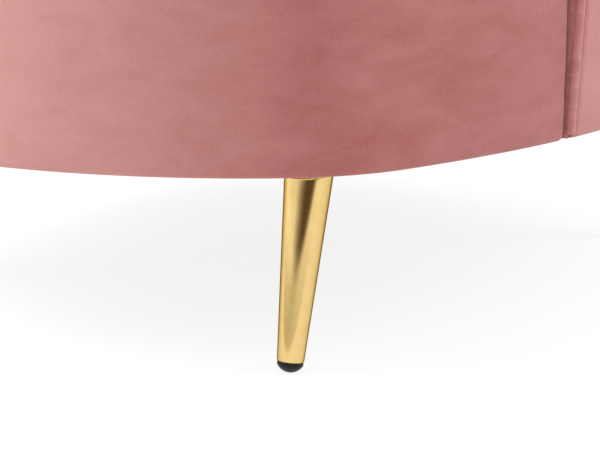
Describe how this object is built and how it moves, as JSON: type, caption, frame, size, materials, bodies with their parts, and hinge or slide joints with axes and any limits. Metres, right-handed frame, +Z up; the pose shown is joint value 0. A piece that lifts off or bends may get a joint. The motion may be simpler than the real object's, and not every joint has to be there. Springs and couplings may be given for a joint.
{
  "type": "upholstered tub chair",
  "caption": "Velvet tub chair with a round seat base, a wrap-round back with sloping arms, a loose seat cushion and slim raked metal legs on glides.",
  "frame": {"origin": "on the floor under the middle of the chair's box, as it stands on its four glides", "axes": "+Z up, the seat faces -Y, +X to the chair's left hand as someone sits in it (the viewer's right from the front)"},
  "size_m": [0.743, 0.8388, 0.8],
  "materials": {
    "velvet": "pile",
    "velvet_outer": "pile",
    "velvet_piping": "pile",
    "gold_leg": "satin",
    "plated_plate": "satin",
    "zinc_steel": "satin",
    "black_glide": "matte",
    "plywood": "sawn",
    "softwood": "sawn",
    "fibreboard": "pressed",
    "wadding": "fleece",
    "spring_steel": "drawn",
    "felt": "felted",
    "foam": "open cell",
    "cambric": "nonwoven",
    "deck_cloth": "woven",
    "zip_tape": "woven",
    "zip_metal": "polished"
  },
  "bodies": {
    "chair": {"leg_front_left": "gold_leg", "leg_front_right": "gold_leg", "leg_rear_left": "gold_leg", "leg_rear_right": "gold_leg", "leg_plate_front_left": "plated_plate", "leg_plate_front_right": "plated_plate", "leg_plate_rear_left": "plated_plate", "leg_plate_rear_right": "plated_plate", "leg_plate_screws": "zinc_steel", "foot_plugs": "zinc_steel", "base_ring_lower": "plywood", "base_ring_upper": "plywood", "base_posts": "softwood", "leg_blocks": "softwood", "apron_board": "fibreboard", "apron_wadding": "wadding", "apron_cover": "velvet", "seat_springs": "spring_steel", "spring_clips": "zinc_steel", "spring_tie_wires": "spring_steel", "insulator_felt": "felt", "deck_foam": "foam", "deck_cover": "deck_cloth", "arm_post_left": "plywood", "arm_post_right": "plywood", "back_ribs": "plywood", "top_rail": "plywood", "tub_outer_board": "fibreboard", "tub_inner_board": "fibreboard", "inside_back_foam": "foam", "inside_arm_foam_left": "foam", "inside_arm_foam_right": "foam", "inside_back_cover": "velvet", "outside_back_wadding": "wadding", "outside_back_cover": "velvet_outer", "outside_back_hem": "velvet_outer", "arm_facing_left": "velvet", "arm_facing_right": "velvet", "arm_welt_left": "velvet_piping", "arm_welt_right": "velvet_piping", "top_piping": "velvet_piping", "dust_cover": "cambric", "dust_cover_staples": "zinc_steel"},
    "seat_cushion": {"cushion_core": "foam", "cushion_top_cover": "velvet", "cushion_boxing": "velvet", "cushion_bottom_cover": "velvet", "cushion_piping_upper": "velvet_piping", "cushion_piping_lower": "velvet_piping", "cushion_zip": "zip_tape"},
    "zip_slider": {"zip_slider": "zip_metal"},
    "glide_front_right": {"glide_front_right": "black_glide", "glide_stud_front_right": "zinc_steel"},
    "glide_front_left": {"glide_front_left": "black_glide", "glide_stud_front_left": "zinc_steel"},
    "glide_rear_right": {"glide_rear_right": "black_glide", "glide_stud_rear_right": "zinc_steel"},
    "glide_rear_left": {"glide_rear_left": "black_glide", "glide_stud_rear_left": "zinc_steel"}
  },
  "joints": [
    {"name": "cushion_lift", "type": "slide", "parent": "chair", "child": "seat_cushion", "axis": [0, 0, 1], "range_m": [0, 0.5]},
    {"name": "zip_run", "type": "hinge", "parent": "seat_cushion", "child": "zip_slider", "pos_m": [0, -0.16509, 0.3804], "axis": [0, 0, 1], "range_deg": [0, 44]},
    {"name": "front_right_glide_screw", "type": "slide", "parent": "chair", "child": "glide_front_right", "axis": [0, -0.1736, -0.9848], "range_m": [0, 0.008]},
    {"name": "front_left_glide_screw", "type": "slide", "parent": "chair", "child": "glide_front_left", "axis": [0, -0.1736, -0.9848], "range_m": [0, 0.008]},
    {"name": "rear_right_glide_screw", "type": "slide", "parent": "chair", "child": "glide_rear_right", "axis": [0, 0.1736, -0.9848], "range_m": [0, 0.008]},
    {"name": "rear_left_glide_screw", "type": "slide", "parent": "chair", "child": "glide_rear_left", "axis": [0, 0.1736, -0.9848], "range_m": [0, 0.008]}
  ]
}
